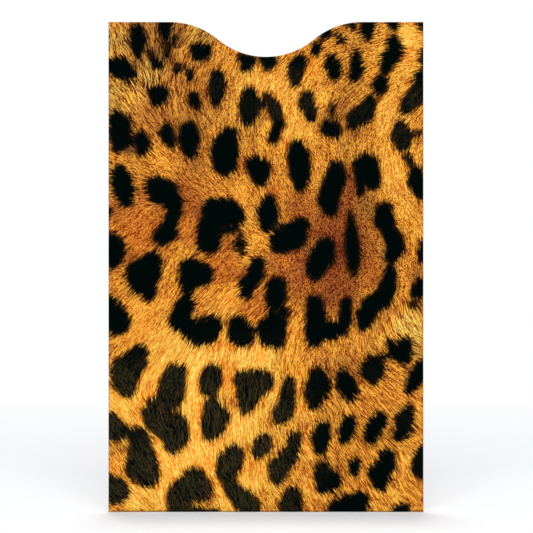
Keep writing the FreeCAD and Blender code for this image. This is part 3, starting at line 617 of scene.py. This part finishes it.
def back_dip(x, z):
    """How far the back panel sinks: full between the flaps, none on them and none at the stiff bottom fold."""
    between = smooth_step(flap_edge - np.abs(x), 0, DIP_EDGE)
    return DIP * between * smooth_step(z, fold_radius, DIP_FOOT)


def back_sheet(depth, step):
    """Grid of the sheet at a depth. For each x: a quarter turn down from the front, the web under the
    pocket, a quarter turn up and the back panel as far as the mouth line."""
    half = front_columns(step)[:-2]
    x = np.concatenate([half[:0:-1], -half])
    radius = fold_radius - depth
    near, far = front_face + fold_radius, back_face - fold_radius
    turn_under = np.concatenate([[(front_face + depth, fold_radius)],
                                 quarter(TURN_STEPS, (near, fold_radius), radius, 180),
                                 run((near, depth), (far, depth), 2 * WEB_STEPS),
                                 quarter(TURN_STEPS, (far, fold_radius), radius, 270)])
    share = np.linspace(0, 1, round(mouth_height / step) + 1)[1:]
    z = np.concatenate([np.broadcast_to(turn_under[:, 1], (len(x), len(turn_under))),
                        fold_radius + (mouth(x) - fold_radius)[:, None] * share], 1)
    y = np.concatenate([turn_under[:, 0], np.full(len(share), back_face - depth)])
    dip = back_dip(x[:, None], z) * (y > 0)
    return np.stack([np.broadcast_to(x[:, None], z.shape), y - dip, z], -1)


print("back sheet grid:", back_sheet(0, PRINT_STEP).shape[:2])

# %% [markdown]
# ## From two grids to a sheet of paper
# Paper has two faces and a cut edge. One grid gives the outer face, another the inner face,
# and a band of quads round their border closes the edge, so the ply is a closed solid.
# The inner face and the band have a material slot of their own, because they show the white core and not the print.

# %% Closed ply from two grids
SHARP_ANGLE = math.radians(40)


def closed_ply(name, outer, inner, face_material, core_material):
    """Mesh object of a ply. Quads join neighbours of a grid; the inner grid's are turned round; the border's quads
    run along the first row, the last column, the last row and the first column, from one grid to the other."""
    count = outer[..., 0].size
    number = np.arange(count).reshape(outer.shape[:2])
    corners = [number[:-1, :-1], number[1:, :-1], number[1:, 1:], number[:-1, 1:]]
    faces = np.stack(corners, -1).reshape(-1, 4)
    border = np.concatenate([number[:-1, 0], number[-1, :-1], number[:0:-1, -1], number[0, :0:-1]])
    after = np.roll(border, -1)
    edge = np.stack([after, border, border + count, after + count], -1)
    quads = np.concatenate([faces, faces[:, ::-1] + count, edge])
    mesh = bpy.data.meshes.new(name)
    mesh.vertices.add(2 * count)
    mesh.vertices.foreach_set("co", np.concatenate([outer.reshape(-1, 3), inner.reshape(-1, 3)]).ravel())
    mesh.loops.add(quads.size)
    mesh.loops.foreach_set("vertex_index", quads.ravel())
    mesh.polygons.add(len(quads))
    mesh.polygons.foreach_set("loop_start", np.arange(0, quads.size, 4))
    mesh.materials.append(face_material)
    mesh.materials.append(core_material)
    mesh.polygons.foreach_set("material_index", np.repeat([0, 1], [len(faces), len(faces) + len(edge)]))
    mesh.polygons.foreach_set("use_smooth", np.ones(len(quads), bool))
    mesh.update(calc_edges=True)
    mesh.set_sharp_from_angle(angle=SHARP_ANGLE)
    piece = bpy.data.objects.new(name, mesh)
    bpy.context.scene.collection.objects.link(piece)
    print(name, "has", 2 * len(quads), "triangles")
    return piece


# %% [markdown]
# ## Shader maths as plain expressions
# A node material is arithmetic drawn with boxes. To keep it readable, a small class stands for one
# output socket, and adding or multiplying two of them adds the Math node that does it.
# Every other kind of node comes from the one method `node`, and the nodes that are needed often have a
# short name of their own.

# %% A socket that can be reckoned with
RELIEF = 0.02 * MM


class Wire:
    """An output socket of a node tree."""

    def __init__(self, tree, socket=None):
        self.tree, self.socket = tree, socket

    def node(self, kind, settings, inputs, output=0):
        """Adds a node: its settings first, then a number, colour or wire for each named or numbered input."""
        made = self.tree.nodes.new(kind)
        for name, value in settings.items():
            setattr(made, name, value)
        for name, value in inputs.items():
            if isinstance(value, Wire):
                self.tree.links.new(value.socket, made.inputs[name])
            else:
                made.inputs[name].default_value = value
        return Wire(self.tree, made.outputs[output])

    def also(self, output):
        """Another output of the same node."""
        return Wire(self.tree, self.socket.node.outputs[output])

    def math(self, operation, *values):
        """A Math node on numbers or wires."""
        return self.node("ShaderNodeMath", {"operation": operation}, dict(enumerate(values)))

    def __add__(self, other):
        return self.math("ADD", self, other)

    def __sub__(self, other):
        return self.math("SUBTRACT", self, other)

    def __rsub__(self, other):
        return self.math("SUBTRACT", other, self)

    def __mul__(self, other):
        return self.math("MULTIPLY", self, other)

    def __truediv__(self, other):
        return self.math("DIVIDE", self, other)

    __radd__, __rmul__ = __add__, __mul__

    def step(self, start, end):
        """Soft step from 0 at start to 1 at end."""
        limits = {0: self, 1: start, 2: end, 3: 0.0, 4: 1.0}
        return self.node("ShaderNodeMapRange", {"interpolation_type": "SMOOTHSTEP"}, limits)

    def noise(self, vector, scale, detail, output=0):
        """Noise read at a vector: output 0 is one number, 1 is three as a colour."""
        return self.node("ShaderNodeTexNoise", {}, {"Vector": vector, "Scale": scale, "Detail": detail}, output)

    def mix(self, factor, first, second):
        """Two colours mixed by a factor."""
        return self.node("ShaderNodeMix", {"data_type": "RGBA"}, {0: factor, 6: first, 7: second}, 2)

    def place(self):
        """Object coordinates, in metres."""
        return self.node("ShaderNodeTexCoord", {}, {}, "Object")

    def kept(self, name, output=2):
        """What the vertices keep under a name: output 2 is one number, 1 is three."""
        return self.node("ShaderNodeAttribute", {"attribute_name": name}, {}, output)

    def split(self):
        """First of the three numbers of a vector or colour; the others are outputs 1 and 2 of the same node."""
        return self.node("ShaderNodeSeparateXYZ", {}, {0: self})

    def times(self, other):
        """Two colours multiplied number by number."""
        return self.node("ShaderNodeVectorMath", {"operation": "MULTIPLY"}, {0: self, 1: other})

    def bump(self, strength):
        """Normal of a surface that is raised by this height times RELIEF."""
        return self.node("ShaderNodeBump", {}, {"Strength": strength, "Distance": RELIEF, "Height": self})


print("one class,", len([name for name in vars(Wire) if callable(getattr(Wire, name))]), "methods")

# %% [markdown]
# A finish starts as a Principled shader. Values that are the same all over go straight to its sockets, and
# what changes over the surface is fed to them later.

# %% A new finish
def colour(red, green, blue):
    """Ink values as the four numbers of a colour socket."""
    return (*ink(red, green, blue), 1.0)


def new_finish(name, constants):
    """A material with a Principled shader, whose sockets get the values that are the same all over."""
    material = bpy.data.materials.new(name)
    material.use_nodes = True
    shader = material.node_tree.nodes["Principled BSDF"]
    for socket, value in constants.items():
        shader.inputs[socket].default_value = value
    return material, Wire(material.node_tree), shader


def feed(shader, socket, wire):
    """Links a wire to a named socket of the shader."""
    wire.tree.links.new(wire.socket, shader.inputs[socket])


print("white as a socket has it:", colour(255, 255, 255))

# %% [markdown]
# ## The printed fur
# The print is flat ink on paper, so all of the fur is colour and none of it is relief.
# Locks are noise that is stretched along the lie, and single hairs are long thin cells, each with a tone of its own.
# The lie turns, and a pattern can't be turned freely without tearing, so the angles are sorted into twelve lanes of
# 15 degrees. Each lane has its own straight pattern, and a point mixes the two lanes next to its angle. As the angle
# passes from lane to lane, hairs fade into their turned neighbours, which looks like hairs that end and overlap.

# %% Strands along the lie
LANES = 12
LANE_ANGLE = math.pi / LANES
LANE_SEED = 7.3
CELL_SEED = 131.7
NOISE_GAIN, CELL_GAIN = 7.0, 3.46


def hair_lanes(x, z, double_cos, double_sin):
    """The two lanes next to the hair's angle, each as (place across the hair, place along it, lane number, share).
    The angle is half of the doubled one, counted in lanes; a lane's axes are x and z turned by its angle."""
    counted = x.math("ARCTAN2", double_sin, double_cos) * (0.5 / LANE_ANGLE) + LANES
    first = counted.math("FLOOR", counted)
    share = counted - first
    lanes = []
    for number, part in ((first, 1 - share), (first + 1, share)):
        lane = number.math("MODULO", number, LANES)
        angle = lane * LANE_ANGLE
        cosine, sine = angle.math("COSINE", angle), angle.math("SINE", angle)
        lanes.append((z * cosine - x * sine, x * cosine + z * sine, lane, part))
    return lanes


def over_lanes(lanes, read):
    """Reads a pattern in both lanes and mixes it by their shares. A mix of two is flatter than one, so
    it is divided by the length of the shares."""
    total, power = 0, 0
    for over, down, lane, part in lanes:
        total = (read(over, down, lane) - 0.5) * part + total
        power = part * part + power
    return total / power.math("SQRT", power)


def strands(lanes, across, along, seed):
    """Tufts and locks: smooth noise at (across, along, seed), each place times its own frequency, with a spread of
    one."""
    def read(over, down, lane):
        places = {0: over * across, 1: down * along, 2: lane * LANE_SEED + seed}
        return over.noise(over.node("ShaderNodeCombineXYZ", {}, places), 1.0, 1.0)
    return over_lanes(lanes, read) * NOISE_GAIN


def hairs(lanes, across, along, seed):
    """Single hairs: long thin cells, each with a random tone of its own, with a spread of one."""
    def read(over, down, lane):
        places = {0: over * across, 1: down * along + lane * CELL_SEED + seed}
        vector = over.node("ShaderNodeCombineXYZ", {}, places)
        cell = over.node("ShaderNodeTexVoronoi", {"voronoi_dimensions": "2D"}, {"Vector": vector, "Scale": 1.0}, 1)
        return cell.split()
    return over_lanes(lanes, read) * CELL_GAIN


print("lanes:", LANES, "of", round(math.degrees(LANE_ANGLE)), "degrees")

# %% [markdown]
# Fur has detail at several sizes: clumps, tufts and strands of many hairs, and single hairs that are long, short
# or only a stipple. Each size is a pattern with a frequency across the hair, one along it and a seed.

# %% Hairs of the fur
CLUMP, TUFT, STRAND = (0.4, 0.16, 3.0), (1.0, 0.25, 11.0), (2.6, 0.5, 23.0)
LONG_CELLS, SHORT_CELLS, STIPPLE_CELLS = (11.0, 0.55, 7.0), (11.0, 2.0, 19.0), (11.0, 4.0, 31.0)
LONG_SHARE, SHORT_SHARE, STIPPLE_GAIN = 0.7, 0.71, 2.4


def fur_hair(lanes, nap):
    """Long hairs, and hairs as the nap has them. A nap above zero mixes a stipple in by its share, divided by the
    length of the two shares. A nap below zero takes short hairs out and puts long ones in."""
    short = hairs(lanes, *SHORT_CELLS)
    long_hair = hairs(lanes, *LONG_CELLS) * LONG_SHARE + short * SHORT_SHARE
    stipple = hairs(lanes, *STIPPLE_CELLS) * STIPPLE_GAIN
    flat, sleek = nap.math("MAXIMUM", nap, 0.0), nap.math("MINIMUM", nap, 0.0)
    spread = flat * flat + (1 - flat) * (1 - flat)
    mixed = (long_hair + flat * (stipple - long_hair)) / spread.math("SQRT", spread)
    return long_hair, mixed + sleek * (short - long_hair)


print("a long hair is about", round(1 / LONG_CELLS[1], 2), "mm and a stipple", 1 / STIPPLE_CELLS[1], "mm")

# %% [markdown]
# The fur itself is its tint, with lit hairs and shaded gaps over it. Pale fur has weaker gaps, and crisp fur has
# cream hairs and deeper gaps. Beside a spot the fur is in the shade of the black hair, and pale fur is stained
# orange there.

# %% Colour of the fur
LIT_STRAND, PALE_STRAND, CREAM_STRAND = (1.58, 2.15, 2.0, 1.0), (1.6, 1.75, 2.8, 1.0), (2.0, 2.6, 2.9, 1.0)
PALEST_HAIR = (1.0, 0.78, 0.2)
SHADED_GAP, PALE_GAP, DEEP_GAP = (0.35, 0.11, 0.28, 1.0), (0.95, 0.6, 0.26, 1.0), (0.24, 0.06, 0.14, 1.0)
PALE_TINT = (0.6, 1.0)
CRISP_GAIN, RIM_SHADE, SHADE_SHARE = 0.8, 0.7, 0.5
RIM_STAIN = (1.0, 0.76, 0.5)


def fur_colour(wire, tint, tone, rim, crisp):
    """The tint, mixed with its lit colour where the shade is above zero and with the colour of its gaps below.
    Both are the tint times a gain, which is chosen by how pale and how crisp the fur is."""
    pale = tint.split().step(*PALE_TINT)
    shade = tone * (crisp * CRISP_GAIN + 1) - rim * RIM_SHADE
    gain = wire.mix(crisp, wire.mix(pale, LIT_STRAND, PALE_STRAND), CREAM_STRAND)
    loss = wire.mix(crisp, wire.mix(pale, SHADED_GAP, PALE_GAP), DEEP_GAP)
    lit = wire.node("ShaderNodeVectorMath", {"operation": "MINIMUM"}, {0: tint.times(gain), 1: PALEST_HAIR})
    combed = wire.mix(shade * -SHADE_SHARE, wire.mix(shade * SHADE_SHARE, tint, lit), tint.times(loss))
    return wire.mix(rim * pale, combed, combed.times(RIM_STAIN))


print("fur turns pale where its red is over", PALE_TINT[0])

# %% [markdown]
# The edge of a spot is its drawn distance plus the hairs, so they stick out of it along the lie, further where the
# nap is long. The black fades out with a brown rim, and hairs show in it where it is warm.

# %% Edge and colour of the spots
SPOT_GROWTH = 0.44
SPIKE_HAIR, SPIKE_STRAND, SPIKE_TUFT = 0.22, 0.12, 0.05
SPIKE_ALONG, SPIKE_ACROSS = 0.4, 0.9
SPIKE_PLAIN, SPIKE_NAP = 1.15, 0.4
COLD_BLACK, STREAK_BROWN, RIM_BROWN = colour(2, 10, 9), colour(62, 52, 31), colour(64, 33, 13)
STREAK_HAIR, STREAK_STRAND, STREAK_GROUND = 0.55, 0.1, 0.3
BROWN_FADE, SMUDGE_BROWN = (-0.8, 0.1), 0.7
BROWN_HAIR, BROWN_GROUND = 0.4, 0.8


def spot_edge(spot, slope, nap, long_hair, strand, tuft):
    """Millimetres to the edge of a spot: the drawn distance less a growth, plus spikes that are a sum of hairs and
    locks, times the slope at which the hair meets the edge, times the length of the nap."""
    spikes = long_hair * SPIKE_HAIR + strand * SPIKE_STRAND + tuft * SPIKE_TUFT
    return spot - SPOT_GROWTH + spikes * (slope * SPIKE_ACROSS + SPIKE_ALONG) * (SPIKE_PLAIN - nap * SPIKE_NAP)


def spot_colour(wire, edge, hair, strand, warm, stain):
    """Cold black mixed with streaks by the warmth, and brown over it towards the edge and on smudges."""
    streaks = (hair * STREAK_HAIR + strand * STREAK_STRAND + STREAK_GROUND) * warm
    black = wire.mix(streaks, COLD_BLACK, STREAK_BROWN)
    fade = stain.math("MAXIMUM", stain * SMUDGE_BROWN, edge.step(*BROWN_FADE))
    return wire.mix(fade * (hair * BROWN_HAIR + BROWN_GROUND), black, RIM_BROWN)


print("spots grow by", SPOT_GROWTH, "mm before the hairs roughen them")

# %% [markdown]
# Last, everything is put together in the order in which a painter would work: the fur, then the spots over it.
# Slow noise pushes the places to and fro, because no hair is straight. The ink is matt: a shine would edge the
# black folds with white. Only the paper's own grain is raised.

# %% Printed fur
METRES_TO_MM = 1000.0
WAVE_SCALE, WAVE_REACH = 0.5, 0.6
HAIR_TONE, LOCK_TONE, CLUMP_TONE = 2.05, 0.1, 0.14
RIM_FADE, INK_FADE = (0.0, 0.9), (-0.42, 0.5)
GRAIN_SCALE, GRAIN_DETAIL, GRAIN_BUMP = 7.0, 3.0, 0.12
INK_ROUGHNESS, INK_SPREAD = 0.42, 0.16


def printed_fur():
    """Base colour: the fur's, and the spot's where the roughened distance is negative. Roughness and normal follow
    the grain of the paper."""
    material, wire, shader = new_finish("printed_fur", {"Specular IOR Level": 0.0})
    mm = wire.node("ShaderNodeVectorMath", {"operation": "SCALE"}, {0: wire.place(), "Scale": METRES_TO_MM})
    wave, axes = wire.noise(mm, WAVE_SCALE, 1.0, 1).split(), mm.split()
    x = axes + (wave - 0.5) * WAVE_REACH
    z = axes.also(2) + (wave.also(1) - 0.5) * WAVE_REACH
    spot, slope, stain, warm, crisp = map(wire.kept, ("spot", "slope", "smudge", "warm", "crisp"))
    lie, tint = wire.kept("lie", 1).split(), wire.kept("tint", 1)
    nap = lie.also(2)
    lanes = hair_lanes(x, z, lie, lie.also(1))
    clump, tuft, strand = (strands(lanes, *size) for size in (CLUMP, TUFT, STRAND))
    long_hair, hair = fur_hair(lanes, nap)
    tone = hair * HAIR_TONE + strand * LOCK_TONE + tuft * LOCK_TONE + clump * CLUMP_TONE
    edge = spot_edge(spot, slope, nap, long_hair, strand, tuft)
    fur = fur_colour(wire, tint, tone, 1 - edge.step(*RIM_FADE), crisp)
    inked = spot_colour(wire, edge, hair, strand, warm, stain)
    feed(shader, "Base Color", wire.mix(edge.step(*INK_FADE), inked, fur))
    grain = wire.noise(mm, GRAIN_SCALE, GRAIN_DETAIL)
    feed(shader, "Roughness", grain * INK_SPREAD + INK_ROUGHNESS)
    feed(shader, "Normal", grain.bump(GRAIN_BUMP))
    return material


fur_finish = printed_fur()
print("printed fur has", len(fur_finish.node_tree.nodes), "nodes")

# %% [markdown]
# ## Paper, foil and glue
# The cut edge shows the card's white core, a felt of fibres. The liner is thin, soft paper with longer fibres, the
# foil is rolled aluminium with a faint grain, and the glue is a dried cream film. They are seen only at
# the mouth and the edges, but from above the liner is what the eye looks at.

# %% Finishes that are seen at the edges
FELT_SCALE, FELT_DETAIL, FELT_TONES, FELT_BUMP = 2.2, 4.0, (0.3, 0.75), 0.3
ROLLED_GRAIN, ROLLED_DETAIL, FOIL_ROUGHNESS = (4000.0, 4000.0, 60.0), 3.0, 0.25
DULL_FOIL, BRIGHT_FOIL = colour(196, 198, 200), colour(232, 233, 235)
ROUGHNESS_SPREAD = 0.2


def fibre_finish(name, pale, deep, roughness, stretch, specular=0.3):
    """Paper: noise stretched along the height as fibres mixes a pale and a deep tone, and raises them a little."""
    material, wire, shader = new_finish(name, {"Specular IOR Level": specular})
    scale = (METRES_TO_MM, METRES_TO_MM, METRES_TO_MM / stretch)
    fibres = wire.node("ShaderNodeMapping", {}, {0: wire.place(), "Scale": scale})
    felt = wire.noise(fibres, FELT_SCALE, FELT_DETAIL)
    feed(shader, "Base Color", wire.mix(felt.step(*FELT_TONES), colour(*deep), colour(*pale)))
    feed(shader, "Roughness", felt * ROUGHNESS_SPREAD + roughness)
    feed(shader, "Normal", felt.bump(FELT_BUMP))
    return material


def foil_finish():
    """Rolled aluminium: noise drawn out along the height changes the brightness and the roughness."""
    material, wire, shader = new_finish("rolled_foil", {"Metallic": 1.0})
    rolled = wire.node("ShaderNodeMapping", {}, {0: wire.place(), "Scale": ROLLED_GRAIN})
    grain = wire.noise(rolled, 1.0, ROLLED_DETAIL)
    feed(shader, "Base Color", wire.mix(grain, DULL_FOIL, BRIGHT_FOIL))
    feed(shader, "Roughness", grain * ROUGHNESS_SPREAD + FOIL_ROUGHNESS)
    return material


core_finish = fibre_finish("card_core", (244, 240, 231), (218, 210, 196), roughness=0.7, stretch=1.0)
liner_finish = fibre_finish("liner_paper", (240, 237, 229), (216, 211, 200), roughness=0.7, stretch=3.0)
glue_finish = fibre_finish("dried_glue", (232, 218, 184), (206, 188, 148), roughness=0.25, stretch=1.0, specular=0.5)
metal_finish = foil_finish()
print("edge finishes:", [m.name for m in (core_finish, liner_finish, glue_finish, metal_finish)])

# %% [markdown]
# ## Laying the print on the sheets
# The print's designs are pictures over (x, z). Each vertex of a printed sheet reads them at its own place and keeps
# them as attributes, which the shader reads back. The back is taken to carry the same fur, so it meets the front at
# the folds.

# %% The printed sheets
def put(mesh, name, kind, field, values):
    """Writes one value for each vertex as a named attribute."""
    mesh.attributes.new(name, kind, "POINT").data.foreach_set(field, np.asarray(values, np.float32).ravel())


def lay_print(piece):
    """Reads spots, masks, lie and tint at each vertex's x and z. Distances are stored in millimetres."""
    mesh = piece.data
    place = np.empty(3 * len(mesh.vertices))
    mesh.vertices.foreach_get("co", place)
    column, row = to_pixels(place[0::3], place[2::3])
    spot = spot_distance(column, row) / (pixels_per_metre * MM)
    lie = np.concatenate([hair_lie(column, row), hair_nap(column, row)[:, None]], -1)
    masks = {"spot": spot, "warm": warm_black(column, row), "crisp": crisp_hair(column, row),
             "smudge": smudge(column, row), "slope": edge_slope(column, row, lie)}
    for name, values in masks.items():
        put(mesh, name, "FLOAT", "value", values)
    put(mesh, "lie", "FLOAT_VECTOR", "vector", lie)
    put(mesh, "tint", "FLOAT_VECTOR", "vector", fur_tint(column, row))
    print(piece.name, "spotted share:", round(float((spot < 0).mean()), 3))


FRONT_ZONES = ("front_panel", "left_fold", "right_fold", "left_flap", "right_flap")
BACK_ZONES = ("bottom_fold", "back_panel")


def place_ply(sheet, zones, ply, step, face_material, core_material):
    """Makes one ply of a sheet, which stands for the ply's CAD nodes in the sheet's zones."""
    outer, inner = (sheet(depth, step) for depth in ply_depths[ply])
    piece = closed_ply(f"{sheet.__name__}_{ply}", outer, inner, face_material, core_material)
    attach(piece, "root")
    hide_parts(*[f"{zone}_{ply}" for zone in zones])
    return piece


for sheet, zones in ((front_sheet, FRONT_ZONES), (back_sheet, BACK_ZONES)):
    lay_print(place_ply(sheet, zones, "print", PRINT_STEP, fur_finish, core_finish))

# %% [markdown]
# ## The plies inside
# Foil and liner follow the same two sheets at their own depths. Nothing is printed on them, so a coarser grid does.
# The two glue strips are flat and right as the CAD has them, so they only get their finish.

# %% Foil, liner and glue
INNER_STEP = 1.0 * MM

for ply, finish in (("foil", metal_finish), ("liner", liner_finish)):
    for sheet, zones in ((front_sheet, FRONT_ZONES), (back_sheet, BACK_ZONES)):
        place_ply(sheet, zones, ply, INNER_STEP, finish, finish)

for name in ("left_glue_strip", "right_glue_strip"):
    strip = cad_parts[name].data
    strip.materials.clear()
    strip.materials.append(glue_finish)
print("glue strips keep their CAD shape")

# %% [markdown]
# ## Floor
# The sleeve stands on a white table. A floor that only reflects would be grey where the light is weak, so to the
# camera it also glows a little, which makes it white but leaves the soft shadow. To all other rays it is dark, so it
# doesn't light the sleeve from below. Its paint is a trace blue all over, and bluer before the sleeve's foot, where
# the sleeve throws its orange on it, so the shadow there stays grey. There it also glows a little more, which is
# painted light that makes the shadow before the foot lighter.

# %% White floor
FLOOR_REACH, FLOOR_SIDES = 3.0, 64
# The floor paint is a trace blue against the orange that the sleeve reflects onto it.
FLOOR_PAINT, FLOOR_BOUNCE = (0.925, 0.94, 0.96, 1.0), (0.2, 0.2, 0.2, 1.0)
FLOOR_GLOW, FAR_FLOOR = 0.1, (0.15, 0.42)
# Before the foot: a bluer paint against the sleeve's orange bounce, and extra glow that is painted light lifting the
# shadow.
FOOT_BOUNCE_CANCEL, FOOT_SHADOW_LIFT = (0.8, 0.89, 0.98, 1.0), 0.14
FOOT_START, FOOT_END, FOOT_SIDE = (0.0, 0.001), (0.004, 0.024), (0.018, 0.032)
WHITE = (1.0, 1.0, 1.0, 1.0)


def seen_straight(wire):
    """One for rays that a viewer sees the floor or sky by: straight, in a mirror or through glass."""
    path = wire.node("ShaderNodeLightPath", {}, {}, "Is Camera Ray")
    through = path.math("MAXIMUM", path.also("Is Glossy Ray"), path.also("Is Transmission Ray"))
    return path.math("MAXIMUM", path, through)


def floor_finish():
    """Pale diffuse paint, mixed with a glow of strength 1 for rays that see it straight, more of it far away.
    Before the sleeve's foot, where a product of soft steps over the depth and the width is one, the paint is bluer
    against the sleeve's orange bounce, and more glow is painted light that makes the shadow there lighter."""
    material = bpy.data.materials.new("pale_floor")
    material.use_nodes = True
    tree = material.node_tree
    tree.nodes.remove(tree.nodes["Principled BSDF"])
    wire = Wire(tree)
    place = wire.place()
    away = wire.node("ShaderNodeVectorMath", {"operation": "LENGTH"}, {0: place}, 1)
    seen, axes = seen_straight(wire), place.split()
    before, aside = axes.also(1) * -1, axes.math("ABSOLUTE", axes)
    foot = (1 - before.step(*FOOT_END)) * before.step(*FOOT_START) * (1 - aside.step(*FOOT_SIDE))
    # The extra glow before the foot is painted light: it makes the sleeve's shadow there lighter.
    glow = seen * (away.step(*FAR_FLOOR) * (1 - FLOOR_GLOW) + FLOOR_GLOW + foot * FOOT_SHADOW_LIFT)
    dim, pale, blue = (wire.node("ShaderNodeBsdfDiffuse", {}, {"Color": paint})
                       for paint in (FLOOR_BOUNCE, FLOOR_PAINT, FOOT_BOUNCE_CANCEL))
    table = wire.node("ShaderNodeMixShader", {}, {0: foot, 1: pale, 2: blue})
    paint = wire.node("ShaderNodeMixShader", {}, {0: seen, 1: dim, 2: table})
    white = wire.node("ShaderNodeEmission", {}, {"Color": WHITE, "Strength": 1.0})
    both = wire.node("ShaderNodeMixShader", {}, {0: glow, 1: paint, 2: white})
    tree.links.new(both.socket, tree.nodes["Material Output"].inputs["Surface"])
    return material


floor_mesh = bpy.data.meshes.new("floor")
around = np.linspace(0, 2 * math.pi, FLOOR_SIDES, endpoint=False)
rim = np.stack([FLOOR_REACH * np.cos(around), FLOOR_REACH * np.sin(around), 0 * around + cad_box[0][2]], -1)
floor_mesh.from_pydata(rim.tolist(), [], [list(range(FLOOR_SIDES))])
floor_mesh.materials.append(floor_finish())
floor = bpy.data.objects.new("floor", floor_mesh)
bpy.context.scene.collection.objects.link(floor)
print("floor at", round(cad_box[0][2] * 1000, 2), "mm")

# %% [markdown]
# ## Light
# The light is that of a small studio. A soft box in front throws a faint shadow to both sides behind the sleeve, and
# one far above a short shadow before it. A third one stands low behind, so the back isn't left dark; it only grazes
# the floor and throws hardly any shadow. A dim white sky fills in the rest, and it is plain white where it is seen.

# %% Sky
SKY = 0.25

world = bpy.data.worlds.new("studio")
world.use_nodes = True
bpy.context.scene.world = world
sky = Wire(world.node_tree)
dome, backdrop = (sky.node("ShaderNodeBackground", {}, {"Color": WHITE, "Strength": s}) for s in (SKY, 1.0))
both = sky.node("ShaderNodeMixShader", {}, {0: seen_straight(sky), 1: dome, 2: backdrop})
world.node_tree.links.new(both.socket, world.node_tree.nodes["World Output"].inputs["Surface"])
print("sky lights with a strength of", SKY)

# %% Soft boxes
# Place in metres, power in watts, width and height in metres
LAMPS = {
    "front_box": ((0.0, -1.6, 0.79), 31.2, (1.2, 1.2)),
    "top_box": ((-0.06, 0.57, 2.9), 36.0, (0.5, 0.8)),
    "back_box": ((0.0, 1.6, 0.13), 12.0, (0.6, 0.2)),
}


def lamp(name, place, target, power, size):
    """A soft box of a width and a height that faces a target and isn't seen itself."""
    light = bpy.data.lights.new(name, "AREA")
    light.shape = "RECTANGLE"
    light.energy, light.size, light.size_y = power, *size
    made = bpy.data.objects.new(name, light)
    made.location = place
    made.visible_camera = False
    made.rotation_euler = (made.location - Vector(target)).to_track_quat("Z", "Y").to_euler()
    bpy.context.scene.collection.objects.link(made)


for name, (place, power, size) in LAMPS.items():
    lamp(name, place, (0.0, 0.0, mouth_height / 2), power, size)
    print(name, "has", power, "W")

# %% [markdown]
# ## Camera
# The picture was taken square-on, so the camera looks straight along +Y at the height of the picture's middle.
# Its distance and lens go together: at the depth of the folds' outermost line, which is the edge that is seen, the
# frame is as wide as the picture, by the scale found above.

# %% Camera square to the front
CAMERA_DISTANCE = 0.45
SENSOR = 36.0

frame_width = IMAGE_SIDE / pixels_per_metre
middle_column, foot_row = to_pixels(0.0, 0.0)
camera_x = (IMAGE_SIDE / 2 - middle_column) / pixels_per_metre
camera_z = (foot_row - IMAGE_SIDE / 2) / pixels_per_metre
lens = bpy.data.cameras.new("camera")
lens.sensor_width = SENSOR
lens.lens = SENSOR * (CAMERA_DISTANCE + fold_radius) / frame_width
lens.clip_start = 0.01
camera = bpy.data.objects.new("camera", lens)
camera.location = (camera_x, front_face - CAMERA_DISTANCE, camera_z)
camera.rotation_euler = (math.pi / 2, 0.0, 0.0)
bpy.context.scene.collection.objects.link(camera)
bpy.context.scene.camera = camera
bpy.context.scene.view_settings.view_transform = "Standard"
print("frame", round(frame_width * 1000, 2), "mm wide, lens", round(lens.lens, 1), "mm")
